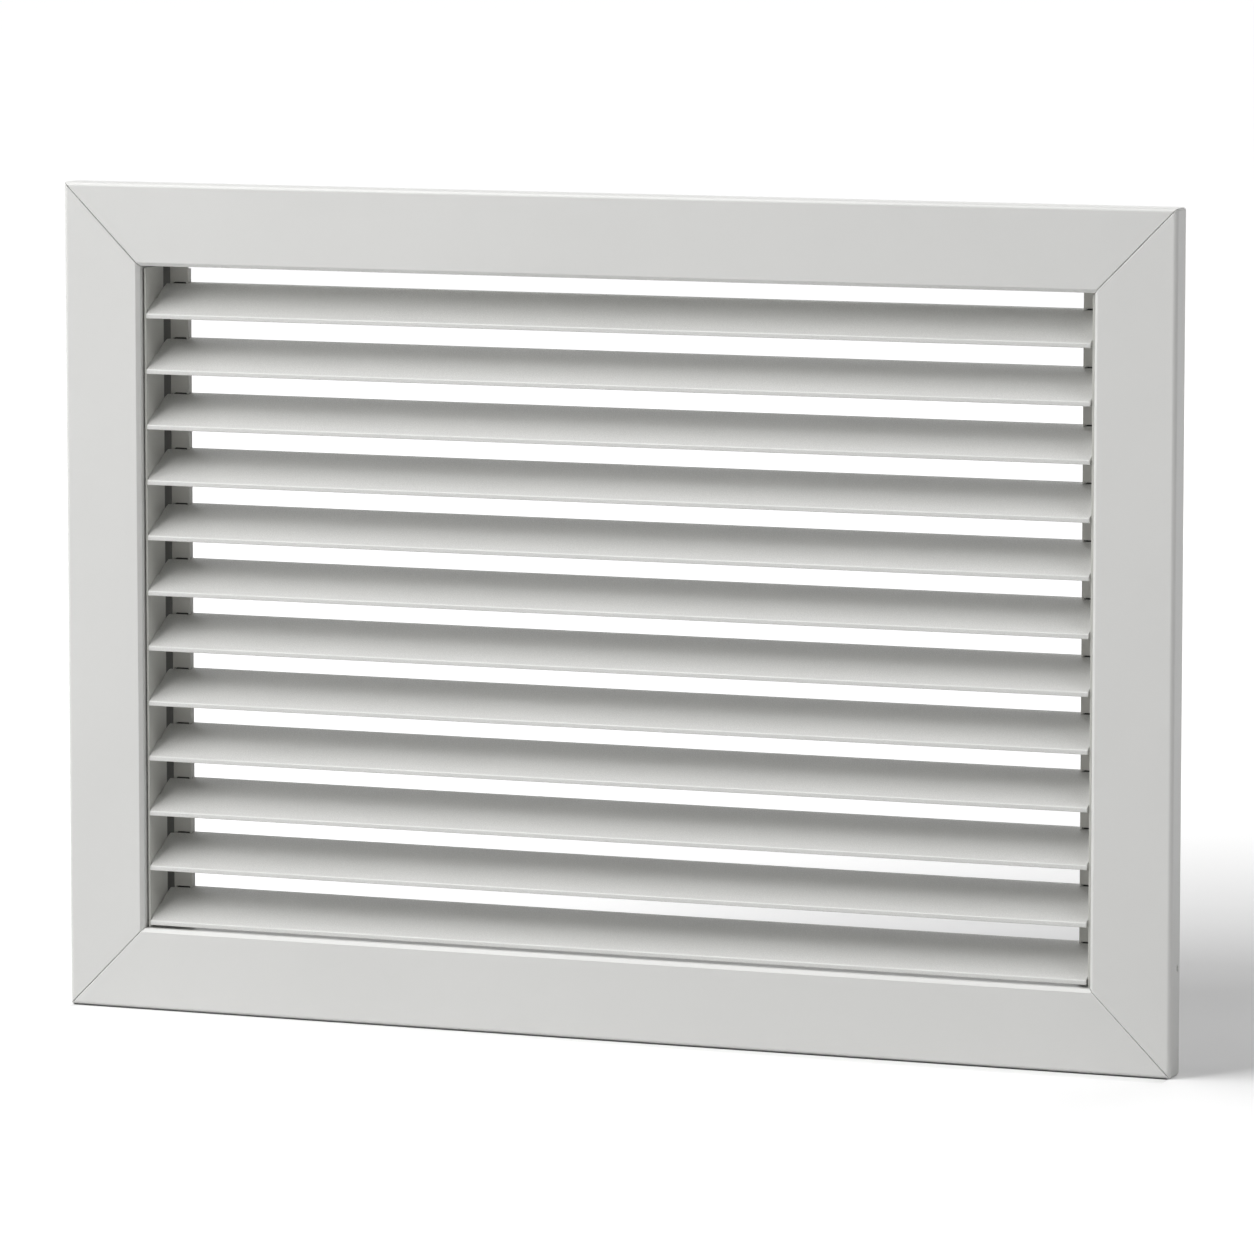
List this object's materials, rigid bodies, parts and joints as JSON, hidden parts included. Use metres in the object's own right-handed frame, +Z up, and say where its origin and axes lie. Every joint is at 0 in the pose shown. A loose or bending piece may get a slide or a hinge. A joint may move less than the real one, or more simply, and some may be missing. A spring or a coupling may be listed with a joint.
{
  "type": "return air grille",
  "caption": "Wall return air grille: mitred flanged frame with a shallow neck, fixed curved blades between side plates, and slotted rear strips, in a pale grey coat.",
  "frame": {"origin": "centre of the wall opening, in the plane of the flange's rear edge, which seats on the wall", "axes": "+X along the width, +Y into the wall and the duct, +Z up; the face looks along -Y"},
  "size_m": [0.524, 0.036, 0.374],
  "materials": {
    "frame_coat": "satin powder coat on aluminium",
    "blade_coat": "satin powder coat on aluminium",
    "plate_coat": "satin powder coat on aluminium sheet",
    "strip_coat": "satin powder coat on folded aluminium",
    "bracket_aluminium": "stamped, uncoated",
    "screw_steel": "zinc plated",
    "rivet_aluminium": "satin"
  },
  "bodies": {
    "root": {"frame_bottom": "frame_coat", "frame_top": "frame_coat", "frame_left": "frame_coat", "frame_right": "frame_coat", "corner_bracket_bottom_left": "bracket_aluminium", "corner_bracket_bottom_right": "bracket_aluminium", "corner_bracket_top_left": "bracket_aluminium", "corner_bracket_top_right": "bracket_aluminium", "corner_grub_screws": "screw_steel", "blade_01": "blade_coat", "blade_02": "blade_coat", "blade_03": "blade_coat", "blade_04": "blade_coat", "blade_05": "blade_coat", "blade_06": "blade_coat", "blade_07": "blade_coat", "blade_08": "blade_coat", "blade_09": "blade_coat", "blade_10": "blade_coat", "blade_11": "blade_coat", "blade_12": "blade_coat", "side_plate_left": "plate_coat", "side_plate_right": "plate_coat", "rear_strip_left": "strip_coat", "rear_strip_right": "strip_coat", "strip_rivets": "rivet_aluminium"}
  },
  "joints": []
}
